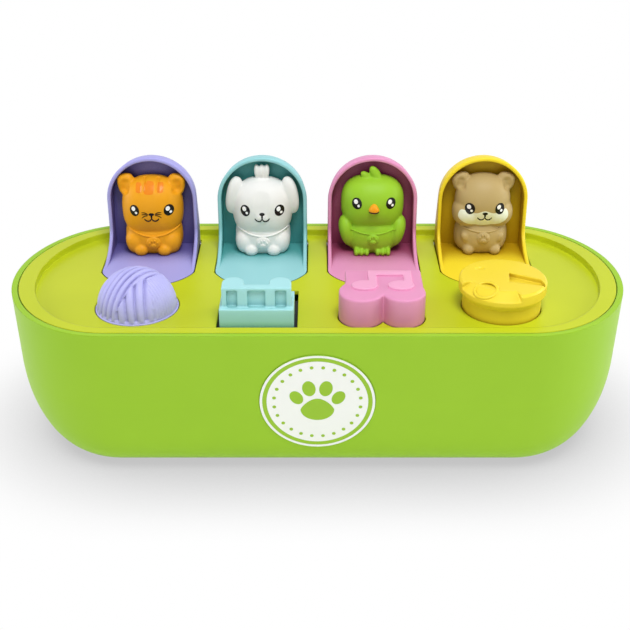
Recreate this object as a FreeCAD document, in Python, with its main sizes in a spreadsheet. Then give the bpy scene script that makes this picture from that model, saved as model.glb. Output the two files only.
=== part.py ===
import FreeCAD, Part
import math
import os

# Pop-up toy: a tub with a deck, four sprung lids that carry animals, and four actuators in front.
# Millimetres. Origin at the middle of the tub's bottom face, +X to the viewer's right along the
# toy, +Y to its rear, +Z up. The lids are modelled open, standing upright on the deck.

doc = FreeCAD.newDocument("PopUpToy")
sheet = doc.addObject("Spreadsheet::Sheet", "Sizes")

# Driving dimensions, in groups of one piece each
SIZES = {
    # tub
    "tub_length": 320, "tub_depth": 135.2, "tub_height": 84, "tub_wall": 2.6,
    "end_length": 57, "front_draft": 6.5, "end_draft": 1.8,
    "bottom_radius": 16, "end_sweep_across": 25, "end_sweep_tall": 44,
    "rim_lip": 3, "ledge_reach": 3, "ledge_tall": 3,
    # deck
    "deck_gap": 0.5, "deck_sheet": 2.4, "border_drop": 3.5, "border_side": 5.4, "border_end": 8.5,
    # lids
    "lid_pitch": 61, "lid_width": 49.4, "lid_gap": 0.55, "lid_rear": 50,
    "hood_rise": 55, "hood_reach": 10, "hood_wall": 2.2, "hood_draft": 0.8,
    "sweep_tall": 13, "plate_corner": 10, "plate_sheet": 2.2,
    # lid hinges
    "axis_drop": 1.75, "lid_pin_radius": 1, "pin_grip": 0.02, "running_gap": 0.08,
    "knuckle_radius": 1.9, "knuckle_length": 6, "lug_sheet": 3.5, "lug_depth": 6, "lug_tall": 5.2,
    "lid_spring_radius": 2.3, "lid_spring_length": 11, "spring_room": 0.4,
    # animals
    "figure_tall": 47, "figure_depth": 20.4, "head_radius": 16.4, "ear_rise": 0.4, "body_radius": 14.4,
    # ball of yarn and note, which are pressed
    "button_gap": 0.4, "stem_radius": 4, "foot_radius": 1.5, "foot_level": 62,
    "tab_reach": 1.8, "tab_tall": 2.4, "tab_sheet": 2, "tab_width": 8,
    "yarn_radius": 20.2, "yarn_skirt": 0.8, "skirt_tall": 1.6, "yarn_back": -29.7,
    "ridge_count": 22, "ridge_depth": 0.8,
    "note_width": 43, "note_front": -53, "note_rear": -18, "note_rise": 15, "note_shift": 1.5, "stem_inset": 3.5,
    "spring_radius": 4.5, "spring_wall": 1.2, "spring_seat": 50, "spring_back": -42, "spring_shift": -9,
    # bone, which is slid
    "bone_width": 36.6, "slot_width": 40, "slot_front": -52.6, "slot_rear": -12.4,
    "bone_shift": 0.7, "bone_depth": 20.6, "base_rise": 9.9, "bar_rise": 10.2, "bar_depth": 13,
    "bone_span": 34, "lobe_radius": 5.4, "bone_waist": 7.4, "keeper_sheet": 2,
    "keeper_lap": 2, "tongue_width": 28, "slide_travel": 6,
    # round cap on its drum, which is turned
    "knob_shift": 1.7, "knob_back": -30, "drum_radius": 19.8, "cap_radius": 22, "cap_seat": 8,
    "cap_rise": 16.5, "cap_bevel": 2.5, "crank_radius": 6, "crank_pin_radius": 1.5,
    # latch levers
    "lever_back": -17, "lever_level": 60, "lever_hub": 2.8, "lever_width": 10, "lever_pin_radius": 1,
    "lever_sheet": 3, "push_level": 38, "push_back": -31.1, "press_reach": 16,
    "lever_lug_sheet": 3, "lever_lug_place": 15, "lever_lug_front": -12.2, "lever_lug_rear": -8.2,
    "lever_spring_radius": 2.4, "lever_spring_length": 3,
    # badge
    "badge_radius": 28.7, "badge_sheet": 1, "badge_seat": 0.5, "badge_level": 44.5,
    # screws and their bosses
    "post_radius": 4, "boss_radius": 4.8, "boss_tall": 13, "screw_radius": 1.5, "screw_bite": 12,
    "screw_head_radius": 2.8, "head_tall": 2.2, "head_recess": 8, "head_room": 0.5,
    "post_end": 121.5, "post_side": 17, "post_mid_front": -40, "post_mid_rear": 30,
}
for row, (alias, number) in enumerate(SIZES.items(), 1):
    sheet.set(f"A{row}", alias)
    sheet.set(f"B{row}", str(number))
    sheet.setAlias(f"B{row}", alias)
doc.recompute()


def size(alias):
    return float(sheet.get(alias))


V = FreeCAD.Vector
ACROSS = V(1, 0, 0)
REARWARD = V(0, 1, 0)
UP = V(0, 0, 1)
nodes = []


def node(label, shape):
    """One piece whose shape is made here, under the name of its file."""
    piece = doc.addObject("Part::Feature", label)
    piece.Shape = shape.removeSplitter() if shape.ShapeType != "Compound" else shape
    piece.Label = label
    nodes.append(piece)
    return piece


def bound(kind, name, place, turn=None, **lengths):
    """A primitive whose sizes and place are expressions of the sheet."""
    piece = doc.addObject(kind, name)
    for prop, rule in lengths.items():
        piece.setExpression(prop, rule)
    if turn:
        piece.Placement = FreeCAD.Placement(V(0, 0, 0), FreeCAD.Rotation(*turn))
    for letter, rule in zip("xyz", place):
        piece.setExpression(f"Placement.Base.{letter}", rule)
    return piece


def block(x0, x1, y0, y1, z0, z1):
    return Part.makeBox(x1 - x0, y1 - y0, z1 - z0, V(x0, y0, z0))


def rod(radius, x0, x1, y, z):
    """A round bar along the toy."""
    return Part.makeCylinder(radius, x1 - x0, V(x0, y, z), ACROSS)


def side_profile(points, x0, x1):
    """A plate that stands fore and aft, from its outline seen from the side."""
    corners = [V(x0, y, z) for y, z in points]
    return Part.Face(Part.makePolygon(corners + corners[:1])).extrude(V(x1 - x0, 0, 0))


tub_height = size("tub_height")
half_length = size("tub_length") / 2
half_depth = size("tub_depth") / 2
floor_top = tub_height - size("border_drop")
floor_under = floor_top - size("deck_sheet")
lid_rear = size("lid_rear")
lid_half = size("lid_width") / 2
lid_gap = size("lid_gap")
axis_level = floor_top - size("axis_drop")
LIDS = ("cat", "dog", "bird", "hamster")
lid_places = [(step - 1.5) * size("lid_pitch") for step in range(4)]


# Tub: straight front and rear, elliptical ends, walls drawn in and swept under at the bottom
def inset(level):
    """How far the tub's wall stands in from its rim, at the front and at the ends."""
    drop = tub_height - level
    front = drop * math.tan(math.radians(size("front_draft")))
    end = drop * math.tan(math.radians(size("end_draft")))
    radius = size("bottom_radius")
    if level < radius:
        front += radius - math.sqrt(radius**2 - (radius - level)**2)
    tall = size("end_sweep_tall")
    if level < tall:
        end += size("end_sweep_across") * (1 - math.sqrt(1 - ((tall - level) / tall)**2))
    return front, end


def stadium(half_x, half_y, end_x, level):
    """An outline with straight long sides and half-ellipse ends."""
    straight = half_x - end_x
    arc = Part.Arc(Part.Circle(V(0, 0, 0), UP, 1), -math.pi / 2, math.pi / 2).toShape()
    stretch = FreeCAD.Matrix()
    stretch.scale(end_x, half_y, 1)
    stretch.move(V(straight, 0, level))
    right = arc.transformGeometry(stretch)
    left = right.mirror(V(0, 0, 0), ACROSS)
    front = Part.makeLine(V(-straight, -half_y, level), V(straight, -half_y, level))
    rear = Part.makeLine(V(straight, half_y, level), V(-straight, half_y, level))
    return Part.Wire(Part.__sortEdges__([front, right, rear, left]))


def rim_slab(inward_end, inward_side, low, high):
    """A flat slab inside the rim's outline, drawn in from it."""
    outline = stadium(half_length - inward_end, half_depth - inward_side,
                      size("end_length") - inward_end, low)
    return Part.Face(outline).extrude(V(0, 0, high - low))


def tub_form(levels, wall, straight):
    """The tub's outline lofted through level sections: straight walls, or a smooth sweep."""
    sections = []
    for level in levels:
        front, end = inset(level)
        sections.append(stadium(half_length - end - wall, half_depth - front - wall,
                                size("end_length") - 0.5 * (front + end) - wall, level))
    return Part.makeLoft(sections, True, straight)


wall = size("tub_wall")
lip = size("rim_lip")
sweep = size("end_sweep_tall")
seat = tub_height - size("deck_sheet")
ledge_low = seat - size("ledge_tall")
curve_levels = [sweep * (1 - math.cos(math.radians(angle))) for angle in (0, 14, 26, 38, 52, 70, 90)]
inner_levels = [wall] + [level for level in curve_levels if level > 1.3 * wall]
tub = tub_form(curve_levels, 0, False).fuse(tub_form([sweep, tub_height], 0, True))
cavity = tub_form(inner_levels, wall, False).fuse(tub_form([sweep, ledge_low], wall, True))
tub = tub.cut(cavity)
reach = wall + size("ledge_reach")
tub = tub.cut(rim_slab(reach, reach, ledge_low - 1, seat + 1))
tub = tub.cut(rim_slab(lip, lip, seat, tub_height + 1))

# Screw bosses stand on the tub's floor, with a recess for each screw's head below
posts = [(side * size("post_end"), back * size("post_side")) for side in (-1, 1) for back in (-1, 1)]
posts += [(0, size("post_mid_front")), (0, size("post_mid_rear"))]
boss_tall = size("boss_tall")
head_recess = size("head_recess")
for x, y in posts:
    tub = tub.fuse(Part.makeCylinder(size("boss_radius"), boss_tall - 1, V(x, y, 1)))
for x, y in posts:
    tub = tub.cut(Part.makeCylinder(size("screw_head_radius") + size("head_room"), head_recess, V(x, y, 0)))
    tub = tub.cut(Part.makeCylinder(size("screw_radius") + 0.3, boss_tall + 1, V(x, y, 0)))

# A seat pillar for the return spring of each pressed piece
pressed = {"yarn": lid_places[0], "note": lid_places[2]}
for x in pressed.values():
    tub = tub.fuse(Part.makeCylinder(size("spring_radius") + 1, size("spring_seat") - 1,
                                     V(x + size("spring_shift"), size("spring_back"), 1)))

# Badge: a disc let into the slanted front wall
slant = math.radians(size("front_draft"))
badge_level = size("badge_level")
outward = V(0, -math.cos(slant), -math.sin(slant))
wall_front = -half_depth + (tub_height - badge_level) * math.tan(slant)
badge_seat = V(0, wall_front, badge_level) - outward * size("badge_seat")
badge_room = Part.makeCylinder(size("badge_radius") + 0.15, 10, badge_seat, outward)
tub = tub.cut(badge_room)
node("tub", tub)
node("badge", Part.makeCylinder(size("badge_radius"), size("badge_sheet"), badge_seat, outward))

# Deck: a sheet with a raised border, which drops in behind the tub's rim and rests on the ledge
edge = lip + size("deck_gap")
deck_end = edge + size("border_end")
deck_side = edge + size("border_side")
sheet_thick = size("deck_sheet")
deck = rim_slab(edge, edge, seat, tub_height)
deck = deck.fuse(rim_slab(deck_end - sheet_thick, deck_side - sheet_thick, floor_under, seat + 1))
deck = deck.cut(rim_slab(deck_end, deck_side, floor_top, tub_height + 1))

opening_half = lid_half + lid_gap
plate_front = lid_rear - size("hood_rise") - size("axis_drop")
plate_corner = size("plate_corner")


def lid_outline(x, half, front, corner, rear, low, high):
    """A lid's plan: square at the rear, bowed at the front, with two front corners."""
    corners = [V(x - half, corner, low), V(x - half, rear, low), V(x + half, rear, low),
               V(x + half, corner, low)]
    bow = Part.Arc(corners[3], V(x, front, low), corners[0]).toShape()
    straight = [Part.makeLine(a, b) for a, b in zip(corners, corners[1:])]
    return Part.Face(Part.Wire(straight + [bow])).extrude(V(0, 0, high - low))


knuckle_out = size("knuckle_radius") + size("spring_room")
spring_out = size("lid_spring_radius") + size("spring_room")
spring_half = size("lid_spring_length") / 2 + size("spring_room")
knuckle_in = lid_half - size("knuckle_length") - size("spring_room")
lug_sheet = size("lug_sheet")
lug_depth = size("lug_depth")
lug_low = floor_top - size("lug_tall")
pin_radius = size("lid_pin_radius")
for x in lid_places:
    for side in (-1, 1):
        inner = x + side * opening_half
        outer = inner + side * lug_sheet
        lug = block(min(inner, outer), max(inner, outer), lid_rear - lug_depth / 2,
                    lid_rear + lug_depth / 2, lug_low, floor_under + 1)
        deck = deck.fuse(lug)
for x in lid_places:
    deck = deck.cut(lid_outline(x, opening_half, plate_front - lid_gap, plate_corner,
                                lid_rear + lid_gap, floor_under - 1, floor_top + 1))
    for side in (-1, 1):
        inner = x + side * knuckle_in
        outer = x + side * opening_half
        deck = deck.cut(block(min(inner, outer), max(inner, outer), lid_rear,
                              lid_rear + knuckle_out, floor_under - 1, floor_top + 1))
    deck = deck.cut(block(x - spring_half, x + spring_half, lid_rear, lid_rear + spring_out,
                          floor_under - 1, floor_top + 1))
    grip = opening_half + lug_sheet + 0.2
    deck = deck.cut(rod(pin_radius + size("pin_grip"), x - grip, x + grip, lid_rear, axis_level))

# Lever lugs hang under the deck beside the front of each lid opening
lever_back = size("lever_back")
lever_level = size("lever_level")
lug_front = size("lever_lug_front")
lug_rear = size("lever_lug_rear")
hub = size("lever_hub")
lever_pin = size("lever_pin_radius")
lug_outline = [(lug_rear, floor_under + 1), (lug_front, floor_under + 1),
               (lug_front, lever_level + 2 * hub), (lever_back - hub, lever_level + hub),
               (lever_back - hub, lever_level - hub), (lug_rear, lever_level - hub)]
lug_place = size("lever_lug_place")
for x in lid_places:
    for side in (-1, 1):
        inner = x + side * lug_place
        outer = inner + side * size("lever_lug_sheet")
        deck = deck.fuse(side_profile(lug_outline, min(inner, outer), max(inner, outer)))
    deck = deck.cut(rod(lever_pin + size("pin_grip"), x - 25, x + 25, lever_back, lever_level))

# Openings of the actuators
gap = size("button_gap")
yarn_x = lid_places[0]
yarn_back = size("yarn_back")
yarn_radius = size("yarn_radius")
skirt_radius = yarn_radius + size("yarn_skirt")
deck = deck.cut(Part.makeCylinder(skirt_radius + gap, 10, V(yarn_x, yarn_back, floor_under - 5)))
bone_x = lid_places[1] + size("bone_shift")
slot_half = size("slot_width") / 2
deck = deck.cut(block(bone_x - slot_half, bone_x + slot_half, size("slot_front"),
                      size("slot_rear"), floor_under - 5, floor_top + 5))
knob_x = lid_places[3] + size("knob_shift")
knob_back = size("knob_back")
drum_radius = size("drum_radius")
deck = deck.cut(Part.makeCylinder(drum_radius + gap, 10, V(knob_x, knob_back, floor_under - 5)))
note_x = lid_places[2] + size("note_shift")


def note_block(grow, low, high, lift=0):
    """Two round note heads in front, joined by the block of the stems behind."""
    half = size("note_width") / 2 + grow
    front = size("note_front") - grow
    rear = size("note_rear") + grow
    head = size("note_width") / 4 + grow
    tall = high - low
    left = Part.makeCylinder(head + 0.6, tall, V(note_x - half + head + 0.6, front + head + 0.6, low))
    right = Part.makeCylinder(head, tall, V(note_x + half - head, front + head, low))
    inset_left = size("stem_inset")
    stems = block(note_x - half + inset_left, note_x + half - 0.8, front + head, rear, low, high)
    return left.fuse(right).fuse(stems).removeSplitter()


deck = deck.cut(note_block(gap, floor_under - 5, floor_top + 5))

# Screw posts reach down from the deck to the tub's bosses
for x, y in posts:
    deck = deck.fuse(Part.makeCylinder(size("post_radius"), floor_under + 1 - boss_tall,
                                       V(x, y, boss_tall)))
pilot = size("screw_radius") + size("pin_grip")
for x, y in posts:
    deck = deck.cut(Part.makeCylinder(pilot, size("screw_bite") + 1, V(x, y, boss_tall)))
node("deck", deck)

# Six screws from below, one group of separate solids
screws = []
for x, y in posts:
    head = Part.makeCylinder(size("screw_head_radius"), size("head_tall"),
                             V(x, y, head_recess - size("head_tall")))
    shank_long = boss_tall + size("screw_bite") - head_recess
    shank = Part.makeCylinder(size("screw_radius"), shank_long, V(x, y, head_recess))
    screws.append(head.fuse(shank).removeSplitter())
node("housing_screws", Part.makeCompound(screws))


# Lid: an arched tray whose side walls sweep forward onto its floor plate, with hinge knuckles
hood_wall = size("hood_wall")
hood_reach = size("hood_reach")
crown = floor_top + size("hood_rise")
plate_low = floor_top - size("plate_sheet")


def arch(x, half, back, low, top):
    """A doorway outline: straight sides under a half circle."""
    spring_line = top - half
    foot_left = V(x - half, back, low)
    foot_right = V(x + half, back, low)
    left = V(x - half, back, spring_line)
    right = V(x + half, back, spring_line)
    bow = Part.Arc(right, V(x, back, top), left).toShape()
    return Part.Wire([Part.makeLine(foot_left, foot_right), Part.makeLine(foot_right, right), bow,
                      Part.makeLine(left, foot_left)])


def hood(x):
    draft = size("hood_draft")
    rim = lid_rear - hood_reach
    outer = Part.makeLoft([arch(x, lid_half, lid_rear, plate_low, crown),
                           arch(x, lid_half, rim, plate_low, crown - draft)], True, True)
    hollow_half = lid_half - hood_wall
    hollow_top = crown - hood_wall
    hollow = Part.makeLoft([arch(x, hollow_half, lid_rear - hood_wall, floor_top, hollow_top),
                            arch(x, hollow_half, rim - 1, floor_top, hollow_top - draft)], True, True)
    shape = outer.cut(hollow)
    shape = shape.fuse(lid_outline(x, lid_half, plate_front, plate_corner, lid_rear, plate_low, floor_top))
    sweep_long = rim - plate_corner
    tall = size("sweep_tall")
    for side in (-1, 1):
        inner = x + side * hollow_half
        outer_x = x + side * lid_half
        left = min(inner, outer_x)
        web = block(left, left + hood_wall, plate_corner, rim + 1, plate_low, floor_top + tall)
        stretch = FreeCAD.Matrix()
        stretch.scale(1, sweep_long, tall)
        stretch.move(V(left - 1, plate_corner, floor_top + tall))
        scoop = Part.makeCylinder(1, hood_wall + 2, V(0, 0, 0), ACROSS).transformGeometry(stretch)
        shape = shape.fuse(web.cut(scoop))
        knuckle_start = x + side * (lid_half - size("knuckle_length"))
        left = min(knuckle_start, outer_x)
        shape = shape.fuse(rod(size("knuckle_radius"), left, left + size("knuckle_length"),
                               lid_rear, axis_level))
    shape = shape.cut(rod(pin_radius + size("running_gap"), x - 30, x + 30, lid_rear, axis_level))
    return shape.cut(block(x - spring_half, x + spring_half, lid_rear - spring_out,
                           lid_rear + spring_out, axis_level - spring_out, axis_level + spring_out))


# Animals: moulded figures, flat at the back and underneath, that stand on the floor plate.
# A figure's own places are counted across from its middle, forward from the panel and up.
panel_face = lid_rear - hood_wall
head_radius = size("head_radius")
head_up = size("figure_tall") - head_radius - size("ear_rise")
head_out = size("figure_depth") - head_radius
body_radius = size("body_radius")
body_out = size("figure_depth") - 1 - body_radius


def ball(across, out, up, radius):
    return Part.makeSphere(radius, V(across, panel_face - out, floor_top + up))


def taper(across, out, up, wide, narrow, long, direction):
    return Part.makeCone(wide, narrow, long, V(across, panel_face - out, floor_top + up), direction)


def bar(across, out, up, radius, long, direction):
    return Part.makeCylinder(radius, long, V(across, panel_face - out, floor_top + up), direction)


def both_sides(make):
    return [make(side) for side in (-1, 1)]


def cat_features():
    ears = both_sides(lambda side: taper(side * 9.5, 7, head_up + 10, 6.2, 2, 8, V(side * 0.35, 0, 1)))
    return ears + both_sides(lambda side: ball(side * 11.4, 7, 8.5, 5.2))


def dog_features():
    ears = []
    for side in (-1, 1):
        ears += [ball(side * 16, 7, head_up + 5, 3.8), bar(side * 16, 7, head_up - 3, 3.8, 8, UP),
                 ball(side * 16, 7, head_up - 3, 3.8)]
    tuft = [ball(side * 2.2, 7, head_up + head_radius - 1, 2.3) for side in (-1, 0, 1)]
    return ears + tuft + both_sides(lambda side: ball(side * 11, 7, 8.5, 5.2))


def bird_features():
    tuft = [taper(0, 6, head_up + head_radius - 2, 3.4, 1.2, 4, V(side * 0.5, 0, 1)) for side in (-1, 0, 1)]
    beak = [taper(0, head_out + head_radius - 2, head_up - 1, 3.2, 0.8, 4, -REARWARD)]
    return tuft + beak + both_sides(lambda side: ball(side * 12, 7, 11, 5.4))


def hamster_features():
    ears = both_sides(lambda side: bar(side * 11.6, 5, head_up + 11.6, 4.8, 5, -REARWARD))
    cheeks = both_sides(lambda side: ball(side * 9, 11, head_up - 5.4, 7.4))
    return ears + cheeks + both_sides(lambda side: ball(side * 10.6, 8, 8, 5.2))


def animal(features):
    """Head over body and two front paws, with what tells this animal from the others."""
    form = ball(0, head_out, head_up, head_radius)
    body = ball(0, body_out, body_radius - 5.5, body_radius)
    paws = both_sides(lambda side: ball(side * 5.4, body_out + body_radius - 3.4, 2.2, 3.8))
    form = form.multiFuse([body] + paws + features)
    room = block(-lid_half, lid_half, panel_face - 2 * head_radius, panel_face, floor_top, crown)
    return form.common(room)


figures = {"cat": cat_features, "dog": dog_features, "bird": bird_features,
           "hamster": hamster_features}
for name, x in zip(LIDS, lid_places):
    node(f"{name}_hood", hood(x))
    node(f"{name}_figure", animal(figures[name]()).translated(V(x, 0, 0)))


# Pins and torsion springs, bound to the sheet as primitives. A spring is a sleeve of its coil's
# inner and outer size, because it turns about its own axis with the piece that it drives.
def pin(label, x, radius, half, back, level):
    piece = bound("Part::Cylinder", label, (f"{x} * Sizes.lid_pitch - ({half})", back, level),
                  (UP.cross(ACROSS), 90), Radius=radius, Height=f"2 * ({half})")
    piece.Label = label
    nodes.append(piece)


def coil(label, x, inner, outer, start, long, back, level):
    place = (f"{x} * Sizes.lid_pitch + ({start})", back, level)
    turn = (UP.cross(ACROSS), 90)
    body = bound("Part::Cylinder", label + "_body", place, turn, Radius=outer, Height=long)
    bore = bound("Part::Cylinder", label + "_bore", place, turn, Radius=inner, Height=long)
    piece = doc.addObject("Part::Cut", label)
    piece.Base = body
    piece.Tool = bore
    piece.Label = label
    nodes.append(piece)


lid_axis = ("Sizes.lid_rear", "Sizes.tub_height - Sizes.border_drop - Sizes.axis_drop")
lever_axis = ("Sizes.lever_back", "Sizes.lever_level")
for step, name in enumerate(LIDS):
    x = step - 1.5
    pin(f"{name}_hinge_pin", x, "Sizes.lid_pin_radius",
        "Sizes.lid_width / 2 + Sizes.lid_gap + Sizes.lug_sheet", *lid_axis)
    coil(f"{name}_lid_spring", x, "Sizes.lid_pin_radius + Sizes.running_gap",
         "Sizes.lid_spring_radius", "-Sizes.lid_spring_length / 2", "Sizes.lid_spring_length",
         *lid_axis)
    pin(f"{name}_lever_pin", x, "Sizes.lever_pin_radius",
        "Sizes.lever_lug_place + Sizes.lever_lug_sheet", *lever_axis)
    coil(f"{name}_lever_spring", x, "Sizes.lever_pin_radius + Sizes.running_gap",
         "Sizes.lever_spring_radius", "Sizes.lever_width / 2 + 0.01", "Sizes.lever_spring_length",
         *lever_axis)

# Latch levers: a hub, a nose beside the lid's path, and an arm that the actuator moves
nose_level = axis_level - hood_reach + 1.5
half_lever = size("lever_width") / 2
lever_sheet = size("lever_sheet")
push_level = size("push_level")
push_back = size("push_back")
arm_top = size("foot_level") - 0.5
nose = [(lever_back + 1, lever_level + 2.2), (lug_rear - 1, nose_level - 3),
        (lug_rear + 0.4, nose_level - 1), (lug_rear + 0.4, nose_level + 1.4),
        (lug_rear - 2.2, nose_level + 2.6), (lever_back - 2, lever_level + 2.2)]
push_arm = [(lever_back + 2.4, lever_level - 1), (push_back + lever_sheet + 0.6, push_level - 1),
            (push_back, push_level - 1), (push_back, push_level + 1), (lever_back - 2.4, lever_level + 1)]
press_arm = [(lever_back, lever_level - 2.4), (lever_back - size("press_reach"), arm_top - lever_sheet),
             (lever_back - size("press_reach"), arm_top), (lever_back, arm_top)]
for name, x in zip(LIDS, lid_places):
    arm = press_arm if x in pressed.values() else push_arm
    left, right = x - half_lever, x + half_lever
    lever = rod(hub, left, right, lever_back, lever_level)
    lever = lever.fuse(side_profile(nose, left, right)).fuse(side_profile(arm, left, right))
    bore = rod(lever_pin + size("running_gap"), left - 1, right + 1, lever_back, lever_level)
    node(f"{name}_latch_lever", lever.cut(bore))


# Pressed pieces have a stem that works the lever, and two side tabs that snap under the deck
def press_fittings(x, y, tab_x, half, bottom):
    stem = Part.makeCylinder(size("stem_radius"), bottom - size("foot_level") - 3,
                             V(x, y, size("foot_level") + 3))
    foot = Part.makeCone(size("foot_radius"), size("stem_radius"), 3, V(x, y, size("foot_level")))
    fittings = stem.fuse(foot)
    tab_top = floor_under - 0.3
    tab_low = tab_top - size("tab_tall")
    width = size("tab_width") / 2
    for side in (-1, 1):
        leg_in = half - size("tab_sheet")
        leg = block(min(side * leg_in, side * half), max(side * leg_in, side * half),
                    y - width, y + width, tab_low, bottom + 0.5)
        tip = half + size("tab_reach")
        barb = block(min(side * leg_in, side * tip), max(side * leg_in, side * tip),
                     y - width, y + width, tab_low, tab_top)
        fittings = fittings.fuse(leg.fuse(barb).translated(V(tab_x, 0, 0)))
    return fittings


# Ball of yarn: a dome whose edge is scalloped by the wound strands, on a thin round skirt
skirt_tall = size("skirt_tall")
skirt_low = floor_top + 0.4 - skirt_tall
dome_centre = V(yarn_x, yarn_back, skirt_low + skirt_tall)
dome = Part.makeSphere(yarn_radius, dome_centre, UP, 0, 90, 360)
strand_count = int(size("ridge_count"))
pitch_angle = 2 * math.pi / strand_count
groove_radius = yarn_radius * math.sin(pitch_angle / 2) * 0.8
skirt = Part.makeCylinder(skirt_radius, skirt_tall, V(yarn_x, yarn_back, skirt_low))
yarn = dome.fuse(skirt)
yarn = yarn.fuse(press_fittings(yarn_x, yarn_back, yarn_x, skirt_radius - 1, skirt_low))
node("yarn_button", yarn)

# Double music note: two round heads in front and the stems behind them, as one block
note_low = floor_top - 1.2
note_high = floor_top + size("note_rise")
note = note_block(0, note_low, note_high)
note_half = size("note_width") / 2
tab_half = note_half - size("stem_inset") / 2 - 0.6
note_tabs = note_x + size("stem_inset") / 2 - 0.4
note = note.fuse(press_fittings(lid_places[2], yarn_back, note_tabs, tab_half, note_low))
node("note_key", note)

# Bone: a long block with the bone standing on it, and a keeper plate under the deck
bone_half = size("bone_width") / 2
bone_front = size("slot_front") + 0.6
bone_rear = bone_front + size("bone_depth")
base_top = floor_top + size("base_rise")
bone_top = base_top + size("bar_rise")
keeper_top = floor_under - 0.3
keeper_low = keeper_top - size("keeper_sheet")
base = block(bone_x - bone_half, bone_x + bone_half, bone_front, bone_rear, keeper_top, base_top)
bar_front = bone_front + 2
bar_middle = bar_front + size("bar_depth") / 2
lobe = size("lobe_radius")
lobe_out = size("bone_span") / 2 - lobe
bone = block(bone_x - lobe_out, bone_x + lobe_out, bar_middle - size("bone_waist") / 2,
             bar_middle + size("bone_waist") / 2, base_top - 1, bone_top)
for side in (-1, 1):
    for back in (-1, 1):
        middle = bar_middle + back * (size("bar_depth") / 2 - lobe)
        bone = bone.fuse(Part.makeCylinder(lobe, bone_top - base_top + 1,
                                           V(bone_x + side * lobe_out, middle, base_top - 1)))
node("bone_slider", base.fuse(bone))
keeper_half = slot_half + size("keeper_lap")
tongue_half = size("tongue_width") / 2
travel = size("slide_travel")
keeper_rear = lug_front - travel - 0.6
tongue_rear = lug_rear - travel
keeper = block(bone_x - keeper_half, bone_x + keeper_half, bone_front - 3, keeper_rear,
               keeper_low, keeper_top)
keeper = keeper.fuse(block(lid_places[1] - tongue_half, lid_places[1] + tongue_half, keeper_rear - 1,
                           tongue_rear, keeper_low, keeper_top))
leg_rear = push_back - 0.4
leg = block(lid_places[1] - 3, lid_places[1] + 3, leg_rear - 3.5, leg_rear, push_level - 2,
            keeper_low + 1)
node("bone_keeper", keeper.fuse(leg))

# Cap: a bevelled round cap on a drum, which turns, and its keeper disc with the crank leg
cap_low = floor_top + size("cap_seat")
cap_top = floor_top + size("cap_rise")
drum = Part.makeCylinder(drum_radius, cap_low - keeper_top + 1, V(knob_x, knob_back, keeper_top))
bevel = size("cap_bevel")
cap_radius = size("cap_radius")
lower = Part.makeCone(cap_radius - bevel * 0.6, cap_radius, bevel, V(knob_x, knob_back, cap_low))
cap = Part.makeCylinder(cap_radius, cap_top - cap_low - bevel, V(knob_x, knob_back, cap_low + bevel))
node("cap_knob", drum.fuse(lower).fuse(cap))
disc = Part.makeCylinder(drum_radius + gap + 1.3, size("keeper_sheet"), V(knob_x, knob_back, keeper_low))
crank = size("crank_radius")
crank_x = knob_x - crank * math.cos(math.radians(30))
crank_y = knob_back - crank * math.sin(math.radians(30))
crank_leg = Part.makeCylinder(size("crank_pin_radius"), keeper_low + 1 - push_level + 2,
                              V(crank_x, crank_y, push_level - 2))
node("knob_keeper", disc.fuse(crank_leg))

# Return springs of the pressed pieces: sleeves of the coil's inner and outer size
spring_top = {"yarn": skirt_low, "note": note_low}
for name, x in pressed.items():
    low = size("spring_seat")
    tall = spring_top[name] - low
    seat_place = V(x + size("spring_shift"), size("spring_back"), low)
    body = Part.makeCylinder(size("spring_radius"), tall, seat_place)
    bore = Part.makeCylinder(size("spring_radius") - size("spring_wall"), tall, seat_place)
    node(f"{name}_spring", body.cut(bore))

doc.recompute()
os.makedirs("parts", exist_ok=True)
for piece in doc.Objects:
    if "Invalid" in piece.State or "Error" in piece.State:
        raise RuntimeError(f"{piece.Label} failed")
for piece in nodes:
    if piece.Shape.isNull() or not piece.Shape.isValid():
        raise RuntimeError(f"{piece.Label} has no valid shape")
    piece.Shape.exportStep(f"parts/{piece.Label}.step")
print(len(nodes), "pieces")
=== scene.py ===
import math

import bmesh
import bpy
from mathutils import Matrix, Vector
from mathutils.bvhtree import BVHTree


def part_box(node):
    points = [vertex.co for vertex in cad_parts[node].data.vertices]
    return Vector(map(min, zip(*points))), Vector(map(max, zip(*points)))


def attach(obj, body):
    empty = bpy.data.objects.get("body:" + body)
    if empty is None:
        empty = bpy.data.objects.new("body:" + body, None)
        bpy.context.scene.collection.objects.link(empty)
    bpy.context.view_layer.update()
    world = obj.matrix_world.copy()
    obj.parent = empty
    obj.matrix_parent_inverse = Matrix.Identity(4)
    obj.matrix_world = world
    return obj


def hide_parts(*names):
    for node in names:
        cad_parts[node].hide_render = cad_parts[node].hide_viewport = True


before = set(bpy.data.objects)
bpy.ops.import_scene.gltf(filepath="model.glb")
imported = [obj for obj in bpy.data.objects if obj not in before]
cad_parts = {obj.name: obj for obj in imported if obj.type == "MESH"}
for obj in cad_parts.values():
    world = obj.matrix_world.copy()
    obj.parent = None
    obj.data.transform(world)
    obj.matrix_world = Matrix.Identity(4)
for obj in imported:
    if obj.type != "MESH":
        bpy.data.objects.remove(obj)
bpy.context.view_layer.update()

# Tub: the green housing, one injection moulding in ABS with a flat bottom that the toy stands on.
# The mould leaves a fine matt grain, and the colour is in the plastic, so it varies very little.
MM = 0.001
PLASTIC_IOR = 1.52
PLASTIC_SPECULAR = 0.2
MELT_FLOW = 30 * MM
GRAIN_STRENGTH = 0.25


def linear(hex_code):
    """An sRGB hex colour as linear red, green, blue and alpha."""
    values = [int(hex_code[place:place + 2], 16) / 255 for place in (0, 2, 4)]
    return [v / 12.92 if v <= 0.04045 else ((v + 0.055) / 1.055)**2.4 for v in values] + [1]


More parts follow.
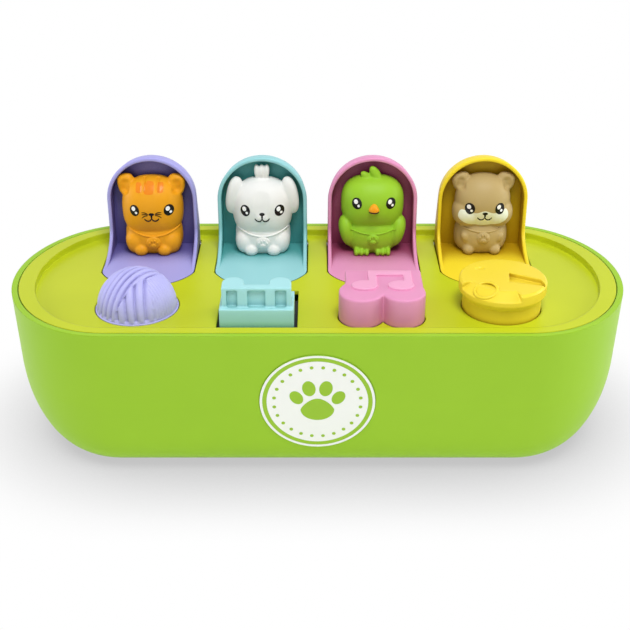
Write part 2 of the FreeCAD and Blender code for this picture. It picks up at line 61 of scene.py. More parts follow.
def add(tree, kind, settings, sources):
    """Adds one node with its settings and the sockets that feed it."""
    node = tree.nodes.new(kind)
    for name, value in settings.items():
        if isinstance(name, int) or name in node.inputs:
            node.inputs[name].default_value = value
        else:
            setattr(node, name, value)
    for name, source in sources.items():
        tree.links.new(source, node.inputs[name])
    return node


def moulded_plastic(name, colour, deep, roughness=0.42, grain_mm=0.7, grain_lift=0.05, soft_mm=0,
                    painted_shade=None, painted_shade_mm=25):
    """Moulded ABS: a slow drift of colour from the flow of the melt, a fine matt grain, and edges
    that a mould leaves slightly soft. Where a shade colour is given, its hollows get painted shade:
    the colour darkens towards that one the more closed in they are."""
    material = bpy.data.materials.new(name)
    material.use_nodes = True
    tree = material.node_tree
    surface = tree.nodes["Principled BSDF"]
    surface.inputs["Roughness"].default_value = roughness
    surface.inputs["IOR"].default_value = PLASTIC_IOR
    surface.inputs["Specular IOR Level"].default_value = PLASTIC_SPECULAR
    place = add(tree, "ShaderNodeTexCoord", {}, {}).outputs["Object"]
    flow = add(tree, "ShaderNodeTexNoise", {"Scale": 1 / MELT_FLOW, "Detail": 3.0}, {"Vector": place})
    tint = add(tree, "ShaderNodeMix", {"data_type": "RGBA", 6: linear(colour), 7: linear(deep)},
               {0: flow.outputs["Fac"]})
    grain = add(tree, "ShaderNodeTexNoise", {"Scale": 1 / (grain_mm * MM), "Detail": 2.0},
                {"Vector": place})
    bump = add(tree, "ShaderNodeBump", {"Strength": GRAIN_STRENGTH, "Distance": grain_lift * MM},
               {"Height": grain.outputs["Fac"]})
    if soft_mm:
        edges = add(tree, "ShaderNodeBevel", {"samples": 6, "Radius": soft_mm * MM}, {})
        tree.links.new(edges.outputs["Normal"], bump.inputs["Normal"])
    # Painted shade: the colour darkens towards the shade colour where ambient occlusion finds the surface
    # closed in, in recesses, grooves and corners.
    if painted_shade:
        open_air = add(tree, "ShaderNodeAmbientOcclusion", {"samples": 8, "Distance": painted_shade_mm * MM}, {})
        painted_shade_amount = add(tree, "ShaderNodeMapRange", {"From Min": 0.85, "From Max": 0.35},
                     {"Value": open_air.outputs["AO"]})
        tint = add(tree, "ShaderNodeMix", {"data_type": "RGBA", 7: linear(painted_shade)},
                   {0: painted_shade_amount.outputs["Result"], 6: tint.outputs[2]})
    tree.links.new(tint.outputs[2], surface.inputs["Base Color"])
    tree.links.new(bump.outputs["Normal"], surface.inputs["Normal"])
    return material


def finish_node(name, material):
    """Gives a carried-over node its material in every slot of its mesh."""
    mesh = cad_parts[name].data
    if not mesh.materials:
        mesh.materials.append(material)
    for slot in range(len(mesh.materials)):
        mesh.materials[slot] = material


tub_abs = moulded_plastic("tub ABS moulded", "9CC82C", "97C428", soft_mm=0.9)
finish_node("tub", tub_abs)

# Deck: the yellow-green panel that drops in behind the tub's rim and carries every moving piece.
# Moulded ABS, a little glossier than the tub.
deck_abs = moulded_plastic("deck ABS moulded", "C3CF22", "BDC91F", 0.38, soft_mm=0.9)
finish_node("deck", deck_abs)

# Screws, hinge pins, torsion springs and return springs: steel with a bright zinc finish. The
# fine crystals of the zinc make its brightness and its gloss vary a little from spot to spot.
ANIMALS = ("cat", "dog", "bird", "hamster")
ZINC_CRYSTAL = 0.8 * MM
steel = bpy.data.materials.new("steel zinc plated")
steel.use_nodes = True
steel_tree = steel.node_tree
steel_surface = steel_tree.nodes["Principled BSDF"]
steel_surface.inputs["Metallic"].default_value = 1
steel_place = add(steel_tree, "ShaderNodeTexCoord", {}, {}).outputs["Object"]
steel_crystals = add(steel_tree, "ShaderNodeTexNoise", {"Scale": 1 / ZINC_CRYSTAL, "Detail": 4.0},
                  {"Vector": steel_place})
steel_tint = add(steel_tree, "ShaderNodeMix",
                 {"data_type": "RGBA", 6: linear("B9BCBF"), 7: linear("A5A8AB")},
                 {0: steel_crystals.outputs["Fac"]})
steel_rough = add(steel_tree, "ShaderNodeMapRange", {"To Min": 0.28, "To Max": 0.42},
                  {"Value": steel_crystals.outputs["Fac"]})
steel_tree.links.new(steel_tint.outputs[2], steel_surface.inputs["Base Color"])
steel_tree.links.new(steel_rough.outputs["Result"], steel_surface.inputs["Roughness"])
finish_node("housing_screws", steel)
for animal in ANIMALS:
    for part in ("hinge_pin", "lid_spring", "lever_pin", "lever_spring"):
        finish_node(f"{animal}_{part}", steel)
for button in ("yarn", "note"):
    finish_node(f"{button}_spring", steel)

# Latch levers and the two keepers under the deck: acetal, natural white for the levers and black
# for the keepers. It slides well and looks slightly waxy.
acetal = moulded_plastic("acetal natural", "E2E1DA", "DAD9D2", 0.5, 1.2)
for animal in ANIMALS:
    finish_node(f"{animal}_latch_lever", acetal)
black_acetal = moulded_plastic("acetal black", "262729", "1F2022", 0.5, 1.2)
finish_node("bone_keeper", black_acetal)
finish_node("knob_keeper", black_acetal)

# Hoods: four arched trays in purple, teal, pink and yellow ABS, each one moulding with its floor
# plate and hinge knuckles. Their rims are rounded, as moulded edges are.
# Each lid's light and deep tones of ABS, then the colour of the painted shade that darkens the inside of its
# tray.
HOOD_COLOURS = {
    "cat": ("ABA8E6", "A4A1DF", "5C5596"),
    "dog": ("9AD4D9", "94CED3", "4C9B9A"),
    "bird": ("E59AC3", "DF93BD", "964262"),
    "hamster": ("F5DC34", "EFD52C", "B4900E"),
}
BODIES = {animal: f"{animal}_lid" for animal in ANIMALS}
HOOD_WALL = 2.2 * MM
RIM_ROUND = 0.8 * MM
RIM_TURNS = (0, 30, 60, 90)
SWEEP_STEPS = 12
BOW_STEPS = 36
SWEEP_FOOT = 10 * MM
SWEEP_TALL = 13 * MM
HOOD_REACH = 10 * MM
BACK_DRAFT = 1.8 * MM
CROWN_DRAFT = 0.8 * MM
PLATE_SHEET = 2.2 * MM
PLATE_STEPS = 32
KNUCKLE_LONG = 6 * MM
KNUCKLE_RADIUS = 1.9 * MM
KNUCKLE_DROP = 1.75 * MM
FLOOR = 80.5 * MM


def new_piece(name, mesh, body, material, replaced=()):
    """Makes an object of a mesh, gives it its material and sets it on its body."""
    piece = bpy.data.objects.new(name, mesh)
    bpy.context.scene.collection.objects.link(piece)
    mesh.materials.append(material)
    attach(piece, body)
    if replaced:
        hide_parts(*replaced)
    return piece


def plain_mesh(name, form):
    """The mesh of a form, which is then let go."""
    mesh = bpy.data.meshes.new(name)
    form.to_mesh(mesh)
    form.free()
    return mesh


def to_mesh(name, form, sharp_angle=40):
    """Closes a form into a smooth-shaded mesh whose real corners stay sharp."""
    bmesh.ops.recalc_face_normals(form, faces=form.faces[:])
    mesh = plain_mesh(name, form)
    mesh.shade_smooth()
    mesh.set_sharp_from_angle(angle=math.radians(sharp_angle))
    return mesh


def rim_stations(half, rim, spring_line):
    """Places along a hood's outer rim, with the wall's outward and forward directions."""
    sweep = []
    for step in range(SWEEP_STEPS + 1):
        turn = math.radians(90 * step / SWEEP_STEPS)
        place = Vector((half, SWEEP_FOOT + (rim - SWEEP_FOOT) * math.sin(turn),
                        FLOOR + SWEEP_TALL * (1 - math.cos(turn))))
        slope = Vector((0, (rim - SWEEP_FOOT) * math.cos(turn), SWEEP_TALL * math.sin(turn)))
        forward = Vector((0, -slope.z, slope.y)).normalized()
        sweep.append((place, Vector((1, 0, 0)), forward))
    bow = []
    for step in range(1, BOW_STEPS):
        turn = math.pi * step / BOW_STEPS
        outward = Vector((math.cos(turn), 0, math.sin(turn)))
        place = Vector((0, rim, spring_line)) + outward * half
        bow.append((place, outward, Vector((0, -1, 0))))
    side = [(Vector((half, rim, spring_line)), Vector((1, 0, 0)), Vector((0, -1, 0)))]
    right = sweep + side
    left = [(Vector((-p.x, p.y, p.z)), Vector((-1, 0, 0)), m) for p, _, m in reversed(right)]
    return right + bow + left, len(sweep) - 1


def plate_outline(half, front, rear):
    """A lid's plan: square at the rear and bowed at the front, between its two corners."""
    sag = SWEEP_FOOT - front
    radius = (half**2 + sag**2) / (2 * sag)
    spread = math.asin(half / radius)
    bow = []
    for step in range(PLATE_STEPS + 1):
        turn = spread * (2 * step / PLATE_STEPS - 1)
        bow.append((radius * math.sin(turn), front + radius * (1 - math.cos(turn))))
    return bow + [(half, rear), (-half, rear)]


def add_plate(form, half, front, rear):
    """The floor plate that the animal stands on, with a rounded edge on top except at the rear."""
    plate = plate_outline(half, front, rear)
    bottom_ring = [form.verts.new((x, y, FLOOR - PLATE_SHEET)) for x, y in plate]
    top_ring = [form.verts.new((x, y, FLOOR)) for x, y in plate]
    form.faces.new(bottom_ring)
    top_face = form.faces.new(top_ring)
    for place in range(len(plate)):
        after = (place + 1) % len(plate)
        form.faces.new((bottom_ring[place], bottom_ring[after], top_ring[after], top_ring[place]))
    edges = [edge for edge in top_face.edges if max(v.co.y for v in edge.verts) < rear - MM]
    bmesh.ops.bevel(form, geom=edges, offset=RIM_ROUND, segments=3, profile=0.5, affect="EDGES")


def add_knuckles(form, half, rear):
    """The two hinge knuckles at the rear corners, which turn on the pin."""
    for side in (-1, 1):
        place = Matrix.Translation((side * (half - KNUCKLE_LONG / 2), rear, FLOOR - KNUCKLE_DROP))
        bmesh.ops.create_cone(form, cap_ends=True, segments=32, radius1=KNUCKLE_RADIUS,
                              radius2=KNUCKLE_RADIUS, depth=KNUCKLE_LONG,
                              matrix=place @ Matrix.Rotation(math.pi / 2, 4, "Y"))


def hood_form(node):
    """The tray's wall with its rounded rim, the panel behind it, the floor plate and the knuckles."""
    low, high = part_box(node)
    middle = (low.x + high.x) / 2
    half = (high.x - low.x) / 2
    rear = high.y - KNUCKLE_RADIUS
    rim = rear - HOOD_REACH
    spring_line = high.z - CROWN_DRAFT - half
    stations, last_sweep = rim_stations(half, rim, spring_line)
    form = bmesh.new()
    rows = []
    for place, outward, forward in stations:
        row = []
        for turn in RIM_TURNS:
            inward = RIM_ROUND * (1 - math.cos(math.radians(turn)))
            back = RIM_ROUND * (1 - math.sin(math.radians(turn)))
            row.append(form.verts.new(place - outward * inward - forward * back))
        for turn in RIM_TURNS:
            inward = HOOD_WALL - RIM_ROUND * (1 - math.sin(math.radians(turn)))
            back = RIM_ROUND * (1 - math.cos(math.radians(turn)))
            row.append(form.verts.new(place - outward * inward - forward * back))
        rows.append(row)
    for row, after in zip(rows, rows[1:]):
        for place in range(len(row) - 1):
            form.faces.new((row[place], row[place + 1], after[place + 1], after[place]))
    outer_back = []
    inner_back = []
    arch = range(last_sweep, len(stations) - last_sweep)
    for index in arch:
        place, outward, _ = stations[index]
        rise = max(0, min(1, (place.z - FLOOR - SWEEP_TALL) / (spring_line - FLOOR - SWEEP_TALL)))
        drawn = BACK_DRAFT * rise * (0.5 + 0.5 * max(0, outward.z))
        outer = place - outward * drawn
        inner = place - outward * (drawn * 0.5 + HOOD_WALL)
        outer_back.append(form.verts.new((outer.x, rear, outer.z)))
        inner_back.append(form.verts.new((inner.x, rear - HOOD_WALL, inner.z)))
    for step, index in enumerate(arch[:-1]):
        form.faces.new((rows[index][0], rows[index + 1][0], outer_back[step + 1], outer_back[step]))
        form.faces.new((rows[index][-1], rows[index + 1][-1], inner_back[step + 1], inner_back[step]))
    bottom = FLOOR - PLATE_SHEET
    inside = bottom + HOOD_WALL / 2
    feet = {}
    for side, first in ((1, 0), (-1, len(rows) - 1)):
        feet[side] = [form.verts.new((side * half, SWEEP_FOOT, bottom)),
                      form.verts.new((side * half, rear, bottom)),
                      form.verts.new((side * (half - HOOD_WALL), rear - HOOD_WALL, inside)),
                      form.verts.new((side * (half - HOOD_WALL), SWEEP_FOOT, inside))]
        sweep_rows = rows[:last_sweep + 1] if side == 1 else rows[:-last_sweep - 2:-1]
        end = 0 if side == 1 else -1
        form.faces.new([row[0] for row in sweep_rows] + [outer_back[end], feet[side][1], feet[side][0]])
        form.faces.new([row[-1] for row in sweep_rows] + [inner_back[end], feet[side][2], feet[side][3]])
        form.faces.new(feet[side])
        form.faces.new(rows[first] + [feet[side][3], feet[side][0]])
    form.faces.new(outer_back + [feet[-1][1], feet[1][1]])
    form.faces.new(inner_back + [feet[-1][2], feet[1][2]])
    form.faces.new((feet[1][1], feet[1][2], feet[-1][2], feet[-1][1]))
    add_plate(form, half, low.y, rear)
    add_knuckles(form, half, rear)
    bmesh.ops.translate(form, verts=form.verts[:], vec=(middle, 0, 0))
    return form


hood_abs = {}
for animal, (light, deep, painted_shade) in HOOD_COLOURS.items():
    hood_abs[animal] = moulded_plastic(f"{animal} hood ABS moulded", light, deep, 0.4, painted_shade=painted_shade)
    form = hood_form(f"{animal}_hood")
    new_piece(f"{animal}_tray", to_mesh(f"{animal}_tray", form), BODIES[animal], hood_abs[animal],
              [f"{animal}_hood"])

# Pressed, slid and turned pieces in front: the bone, the double note and the round cap, each one
# ABS moulding in its lid's colour. Their edges are melted round, as thick toy mouldings have them.
SOFT_GRID = 0.32 * MM
NOTE_GRID = 0.45 * MM
SOFT_FACTOR = 0.6


def holder_of(name, mesh):
    """A scratch object that holds a rough mesh while it is shaped."""
    holder = bpy.data.objects.new(name, mesh)
    bpy.context.scene.collection.objects.link(holder)
    return holder


def melted(holder, grid, rounds):
    """A copy of a form under one even skin, with its edges smoothed round."""
    melt = holder.modifiers.new("melt", "REMESH")
    melt.mode = "VOXEL"
    melt.voxel_size = grid
    soften = holder.modifiers.new("soften", "SMOOTH")
    soften.factor = SOFT_FACTOR
    soften.iterations = rounds
    view = holder.evaluated_get(bpy.context.evaluated_depsgraph_get())
    skin = bpy.data.meshes.new_from_object(view)
    bpy.data.objects.remove(holder)
    skin.shade_smooth()
    skin.materials.clear()
    return skin


def melted_form(name, form, grid, rounds):
    """A form of overlapping lumps, melted into one skin."""
    return melted(holder_of(name + "_form", plain_mesh(name + "_form", form)), grid, rounds)


# The bone's recesses and the cap's slot, slope and dimple get painted shade, darker where they are more
# closed in.
bone_abs = moulded_plastic("bone ABS moulded", "A9DFE3", "A3D9DD", 0.36, painted_shade="5E9E9E", painted_shade_mm=5)
note_abs = moulded_plastic("note ABS moulded", "E398C0", "DE92BA", 0.36)
cap_abs = moulded_plastic("cap ABS moulded", "F0D83C", "EBD136", 0.36, painted_shade="B99A10", painted_shade_mm=4)
note_holder = holder_of("note_moulding_form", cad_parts["note_key"].data.copy())
new_piece("note_moulding", melted(note_holder, NOTE_GRID, 24), "note", note_abs, ["note_key"])

# Cap: one yellow moulding, a bevelled disc on a drum. Its front left falls away in a slope with a
# ring moulded in relief on it, a tapering slot is let in at the right, and the back has a dimple.
CAP_RADIUS = 22 * MM
DRUM_RADIUS = 19.8 * MM
CAP_BEVEL = 2.5 * MM
CAP_EDGE = 1 * MM
CAP_SEAT = FLOOR + 8 * MM
SLOPE_WIDE = 6 * MM
SLOPE_TALL = 3.5 * MM
SLOPE_TURNS = (196, 286)
SLOT_DEEP = 2.5 * MM
SLOT_CORNERS = ((3.7, 5.4), (18.5, -2.6), (19.7, -8.1), (19, -9.8), (2.5, -4.9))
DIMPLE_PLACE = (-10.2 * MM, 10.5 * MM)
DIMPLE_HALF = (2.6 * MM, 2 * MM, 0.9 * MM)
RING_PLACE = (-10.2 * MM, -12.4 * MM, -1.1 * MM)
RING_RADIUS = 5.6 * MM
RING_WIRE = 0.8 * MM
RING_LEAN = (-0.22, -0.27, 1)
RING_STEPS = 72
RING_SIDES = 14
CAP_STEPS = 128
SLOPE_STEPS = 32
cap_low, cap_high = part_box("cap_knob")
cap_middle = (cap_low + cap_high) / 2
cap_top = Vector((cap_middle.x, cap_middle.y, cap_high.z))


def revolved(section, first, last, steps):
    """A closed form that turns a section of radius and height about the cap's axis."""
    form = bmesh.new()
    rows = []
    for step in range(steps + 1):
        turn = math.radians(first + (last - first) * step / steps)
        rows.append([form.verts.new((cap_middle.x + radius * math.cos(turn),
                                     cap_middle.y + radius * math.sin(turn), level))
                     for radius, level in section])
    for row, after in zip(rows, rows[1:]):
        for place in range(len(section)):
            beside = (place + 1) % len(section)
            form.faces.new((row[place], row[beside], after[beside], after[place]))
    if last - first < 360:
        form.faces.new(rows[0])
        form.faces.new(rows[-1])
    bmesh.ops.remove_doubles(form, verts=form.verts[:], dist=1e-6)
    bmesh.ops.dissolve_degenerate(form, edges=form.edges[:], dist=1e-7)
    return form


def closed_holder(name, form):
    """A scratch object of a closed form, with its faces turned outward for the cuts."""
    bmesh.ops.recalc_face_normals(form, faces=form.faces[:])
    return holder_of(name, plain_mesh(name, form))


top = cap_high.z
body_section = [(0, cap_low.z), (DRUM_RADIUS, cap_low.z), (DRUM_RADIUS, CAP_SEAT),
                (CAP_RADIUS - 0.6 * CAP_BEVEL, CAP_SEAT), (CAP_RADIUS, CAP_SEAT + CAP_BEVEL),
                (CAP_RADIUS, top - CAP_EDGE), (CAP_RADIUS - CAP_EDGE, top), (0, top)]
slope_section = [(CAP_RADIUS - SLOPE_WIDE, top), (CAP_RADIUS, top - SLOPE_TALL),
                 (CAP_RADIUS + 2 * MM, top - SLOPE_TALL * 4 / 3), (CAP_RADIUS + 2 * MM, top + MM),
                 (CAP_RADIUS - SLOPE_WIDE, top + MM)]
slot_form = bmesh.new()
slot_floor = [slot_form.verts.new(cap_top + Vector((across * MM, back * MM, -SLOT_DEEP)))
              for across, back in SLOT_CORNERS]
slot_roof = [slot_form.verts.new(corner.co + Vector((0, 0, SLOT_DEEP + MM))) for corner in slot_floor]
slot_form.faces.new(slot_floor)
slot_form.faces.new(slot_roof)
for place in range(len(SLOT_CORNERS)):
    beside = (place + 1) % len(SLOT_CORNERS)
    slot_form.faces.new((slot_floor[place], slot_floor[beside], slot_roof[beside], slot_roof[place]))
dimple_form = bmesh.new()
bmesh.ops.create_icosphere(dimple_form, subdivisions=4, radius=1,
                           matrix=Matrix.Translation(cap_top + Vector((*DIMPLE_PLACE, 0)))
                           @ Matrix.Diagonal((*DIMPLE_HALF, 1)))
cap_body = closed_holder("cap_body", revolved(body_section, 0, 360, CAP_STEPS))
cutters = [closed_holder("cap_slope", revolved(slope_section, *SLOPE_TURNS, SLOPE_STEPS)),
           closed_holder("cap_slot", slot_form), closed_holder("cap_dimple", dimple_form)]
for cutter in cutters:
    cut = cap_body.modifiers.new("cut", "BOOLEAN")
    cut.operation = "DIFFERENCE"
    cut.solver = "EXACT"
    cut.object = cutter
cap_mesh = melted(cap_body, SOFT_GRID, 4)
for cutter in cutters:
    bpy.data.objects.remove(cutter)
new_piece("cap_moulding", cap_mesh, "cap", cap_abs, ["cap_knob"])
ring_middle = cap_top + Vector(RING_PLACE)
ring_turn = Vector(RING_LEAN).to_track_quat("Z", "Y").to_matrix()
ring_form = bmesh.new()
ring_rows = []
for step in range(RING_STEPS):
    turn = 2 * math.pi * step / RING_STEPS
    outward = Vector((math.cos(turn), math.sin(turn), 0))
    row = []
    for part in range(RING_SIDES):
        lean = 2 * math.pi * part / RING_SIDES
        spot = outward * (RING_RADIUS + RING_WIRE * math.cos(lean))
        spot.z = RING_WIRE * math.sin(lean)
        row.append(ring_form.verts.new(ring_middle + ring_turn @ spot))
    ring_rows.append(row)
for step, row in enumerate(ring_rows):
    after = ring_rows[(step + 1) % RING_STEPS]
    for part in range(RING_SIDES):
        beside = (part + 1) % RING_SIDES
        ring_form.faces.new((row[part], row[beside], after[beside], after[part]))
new_piece("cap_ring", to_mesh("cap_ring", ring_form), "cap", cap_abs)

# Bone on its block: the block slides in the deck's slot, and the bone stands on it with two lobes
# at each end behind and three shallow panels between the ribs of its front.
slider_low, slider_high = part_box("bone_slider")
BONE_X = (slider_low.x + slider_high.x) / 2
BONE_HALF = 17 * MM
BONE_SETBACK = 2.6 * MM
BONE_WAIST = 4.2 * MM
BONE_DEEP = 12.4 * MM
LOBE_OUT = 11.6 * MM
LOBE_RADIUS = 5.4 * MM
LOBE_INNER = 6.2 * MM
PANEL_SINK = 1.7 * MM
PANEL_COVER = 1.6 * MM
BLOCK_TOP = FLOOR + 9.6 * MM
RIBS = ((-17, -14.6), (-9.4, -4.3), (4.3, 9.2), (14.6, 17))


def add_block(form, low, high):
    """A block between two corners, as one of the lumps of a form."""
    middle = (Vector(low) + Vector(high)) / 2
    span = Vector(high) - Vector(low)
    bmesh.ops.create_cube(form, size=1, matrix=Matrix.Translation(middle) @ Matrix.Diagonal((*span, 1)))


def add_drum(form, place, wide, deep, tall):
    """An upright oval drum, as one of the lumps of a form."""
    bmesh.ops.create_cone(form, cap_ends=True, segments=64, radius1=1, radius2=1, depth=1,
                          matrix=Matrix.Translation(place) @ Matrix.Diagonal((wide, deep, tall, 1)))


bone = bmesh.new()
add_block(bone, slider_low, (slider_high.x, slider_high.y, BLOCK_TOP))
front = slider_low.y + BONE_SETBACK
for side in (-1, 1):
    lobe_back = front + BONE_DEEP - LOBE_RADIUS
    lobe_place = (BONE_X + side * LOBE_OUT, lobe_back, (BLOCK_TOP + slider_high.z) / 2)
    add_drum(bone, lobe_place, LOBE_RADIUS, LOBE_RADIUS, slider_high.z - BLOCK_TOP)
    edge = BONE_X + side * BONE_HALF
    inner = BONE_X + side * LOBE_INNER
    add_block(bone, (min(edge, inner), front + PANEL_SINK, BLOCK_TOP - MM),
              (max(edge, inner), lobe_back, slider_high.z))
add_block(bone, (BONE_X - BONE_HALF, front + PANEL_SINK, BLOCK_TOP - MM),
          (BONE_X + BONE_HALF, front + BONE_WAIST, slider_high.z))
add_block(bone, (BONE_X - BONE_HALF, front, slider_high.z - PANEL_COVER),
          (BONE_X + BONE_HALF, front + 2 * PANEL_SINK, slider_high.z))
for left, right in RIBS:
    add_block(bone, (BONE_X + left * MM, front, BLOCK_TOP - MM),
              (BONE_X + right * MM, front + 2 * PANEL_SINK, slider_high.z))
new_piece("bone_moulding", melted_form("bone", bone, SOFT_GRID, 6), "bone", bone_abs, ["bone_slider"])

# Notes on the note key: two note heads, two stems and the beam that joins them, moulded in low
# relief on its top in pink ABS that looks a little paler than the block under it.
NOTE_X = 32 * MM
NOTE_TOP = FLOOR + 15 * MM
RELIEF_RISE = 1.1 * MM
HEAD_HALF = (6.6 * MM, 5 * MM)
HEAD_BACK = -37.2 * MM
STEM_FRONT = -38 * MM
BEAM_FRONT = -25.6 * MM
BEAM_BACK = -20.8 * MM
NOTE_HEADS = (-8.6 * MM, 9.6 * MM)
NOTE_STEMS = ((-6.6 * MM, -2.2 * MM), (11.2 * MM, 15.6 * MM))
relief = bmesh.new()
for head_x, (stem_left, stem_right) in zip(NOTE_HEADS, NOTE_STEMS):
    add_drum(relief, (NOTE_X + head_x, HEAD_BACK, NOTE_TOP), *HEAD_HALF, 2 * RELIEF_RISE)
    add_block(relief, (NOTE_X + stem_left, STEM_FRONT, NOTE_TOP - RELIEF_RISE),
              (NOTE_X + stem_right, BEAM_BACK, NOTE_TOP + RELIEF_RISE))
add_block(relief, (NOTE_X + NOTE_STEMS[0][0], BEAM_FRONT, NOTE_TOP - RELIEF_RISE),
          (NOTE_X + NOTE_STEMS[1][1], BEAM_BACK, NOTE_TOP + RELIEF_RISE))
new_piece("note_relief", melted_form("note_relief", relief, SOFT_GRID, 3), "note",
          moulded_plastic("note relief ABS moulded", "EDA9CC", "E8A2C6", 0.34))

# Ball of yarn: one purple ABS moulding. Its surface shows three windings of strand: slanted ones
# on the left and over the top, upright ones in front, and fine ones that fan out on the right.
YARN_RADIUS = 20.2 * MM
SKIRT_RADIUS = 21 * MM
SKIRT_TALL = 1.6 * MM
YARN_LEAN = math.radians(26)
STRAND_DEPTH = 1.7 * MM
YARN_SPOKES = 260
YARN_RINGS = 80
LEFT_EDGE = [(-1, -0.42), (-0.2, -0.42), (0, -0.31), (0.49, 0), (0.65, 0.21), (0.75, 0.45), (1, 1)]
RIGHT_EDGE = [(-1, 0.6), (-0.18, 0.57), (0.17, 0.47), (0.69, 0.32), (1, 0.2)]


def along(line, place):
    """The value of a broken line at a place."""
    for (start, low), (end, high) in zip(line, line[1:]):
        if place <= end:
            return low + (high - low) * (place - start) / (end - start)
    return line[-1][1]


def strand(axis, point, pitch, first=0):
    """How deep a winding's groove is at a point of the ball, from 0 on a strand to 1."""
    place = Vector(axis).normalized().dot(point) * YARN_RADIUS - first * MM
    return (1 - abs(math.sin(math.pi * place / (pitch * MM))))**1.15


def yarn_depth(point):
    """The grooves at a point of the unit ball, by the winding that shows there."""
    upward = point.y * math.sin(YARN_LEAN) + point.z * math.cos(YARN_LEAN)
    if point.x < along(LEFT_EDGE, upward):
        return strand((0.83, -0.56, -0.06), point, 3.7)
    if point.x > along(RIGHT_EDGE, upward):
        return 0.3 * strand((0.557, 0.83, -0.035), point, 1.75)
    return strand((math.cos(math.radians(5)), 0, math.sin(math.radians(5))), point, 4.9, 2.6)


def yarn_rows(form, middle):
    """Rings of corners, from the foot of the skirt up over the strands to the top of the ball."""
    skirt = [(SKIRT_RADIUS, -SKIRT_TALL), (SKIRT_RADIUS, -0.4 * MM), (SKIRT_RADIUS - 0.3 * MM, -0.1 * MM),
             (YARN_RADIUS, -0.1 * MM)]
    turns = [2 * math.pi * spoke / YARN_SPOKES for spoke in range(YARN_SPOKES)]
    rows = []
    for radius, drop in skirt:
        rows.append([form.verts.new(middle + Vector((radius * math.cos(turn), radius * math.sin(turn), drop)))
                     for turn in turns])
    for ring in range(YARN_RINGS):
        up = math.pi / 2 * ring / YARN_RINGS
        row = []
        for turn in turns:
            point = Vector((math.cos(up) * math.cos(turn), math.cos(up) * math.sin(turn), math.sin(up)))
            depth = yarn_depth(point) * STRAND_DEPTH * min(1, ring / 3)
            row.append(form.verts.new(middle + point * (YARN_RADIUS - depth)))
        rows.append(row)
    return rows


def yarn_fittings(level):
    """The stem and feet under the ball, as the carried-over node has them below a level."""
    fittings = bmesh.new()
    fittings.from_mesh(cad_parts["yarn_button"].data)
    everything = fittings.verts[:] + fittings.edges[:] + fittings.faces[:]
    bmesh.ops.bisect_plane(fittings, geom=everything, plane_co=(0, 0, level), plane_no=(0, 0, 1),
                           clear_outer=True)
    return plain_mesh("yarn_fittings", fittings)


def yarn_form():
    """The ball's upper half with its strands, the thin skirt under it, and its fittings."""
    low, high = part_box("yarn_button")
    middle = Vector(((low.x + high.x) / 2, (low.y + high.y) / 2, high.z - YARN_RADIUS))
    form = bmesh.new()
    rows = yarn_rows(form, middle)
    for row, after in zip(rows, rows[1:]):
        for spoke in range(YARN_SPOKES):
            beside = (spoke + 1) % YARN_SPOKES
            form.faces.new((row[spoke], row[beside], after[beside], after[spoke]))
    pole = form.verts.new(middle + Vector((0, 0, YARN_RADIUS)))
    for spoke in range(YARN_SPOKES):
        form.faces.new((rows[-1][spoke], rows[-1][(spoke + 1) % YARN_SPOKES], pole))
    form.faces.new(rows[0])
    form.from_mesh(yarn_fittings(middle.z - SKIRT_TALL + 0.2 * MM))
    return form


# Painted shade darkens the grooves between the strands.
yarn_abs = moulded_plastic("yarn ABS moulded", "B9B8EE", "B3B1E8", 0.38, painted_shade="7C78B4", painted_shade_mm=3)
new_piece("yarn_ball", to_mesh("yarn_ball", yarn_form(), 60), "yarn", yarn_abs, ["yarn_button"])

# Badge: a printed plastic disc let into the front wall, white with a green ring, a green paw and a
# circle of green spots. The print is a thin gloss film, and the disc itself shows as the ring.
BADGE_SLANT = math.radians(6.5)
BADGE_OUTER = 28.7
BADGE_RING = 27.4
BADGE_WHITE = 25.2
PRINT_LIFT = 0.05
DISC_FACE = 0.5
PAD_HALF = (8.4, 6.8)
PAD_UP = -4.4
TOES = ((10.4, 3, 3.1, 4.3, -28), (4.2, 8.6, 3.3, 4.7, -8))
SPOTS = 24
SPOT_REACH = 21.6
SPOT_RADIUS = 0.95
badge_low, badge_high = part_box("badge")
badge_middle = (badge_low + badge_high) / 2
badge_out = Vector((0, -math.cos(BADGE_SLANT), -math.sin(BADGE_SLANT)))
badge_up = Vector((0, -math.sin(BADGE_SLANT), math.cos(BADGE_SLANT)))


def on_badge(across, up, lift):
    """The place on the badge at a distance across and up from its middle, lifted off its face."""
    flat = badge_middle + Vector((across * MM, 0, 0)) + badge_up * up * MM
    return flat + badge_out * (DISC_FACE + lift) * MM


def badge_oval(across, up, half_wide, half_tall, lift, tilt=0, hole=0, steps=48):
    """A flat oval of print on the badge, or a ring where it has a hole."""
    lean = math.radians(tilt)
    outline = []
    for step in range(steps):
        turn = 2 * math.pi * step / steps
        wide = math.cos(turn) * math.cos(lean) * half_wide - math.sin(turn) * math.sin(lean) * half_tall
        tall = math.cos(turn) * math.sin(lean) * half_wide + math.sin(turn) * math.cos(lean) * half_tall
        outline.append((wide, tall))
    corners = [on_badge(across + wide, up + tall, lift) for wide, tall in outline]
    if not hole:
        return corners, [tuple(range(steps))]
    corners += [on_badge(across + wide * hole, up + tall * hole, lift) for wide, tall in outline]
    faces = []
    for step in range(steps):
        after = (step + 1) % steps
        faces.append((step, after, steps + after, steps + step))
    return corners, faces


def joined_mesh(name, shapes):
    """One mesh of several shapes, each given as its corners and its faces."""
    corners = []
    faces = []
    for shape_corners, shape_faces in shapes:
        first = len(corners)
        corners += shape_corners
        faces += [tuple(first + corner for corner in face) for face in shape_faces]
    mesh = bpy.data.meshes.new(name)
    mesh.from_pydata(corners, [], faces)
    mesh.shade_smooth()
    return mesh


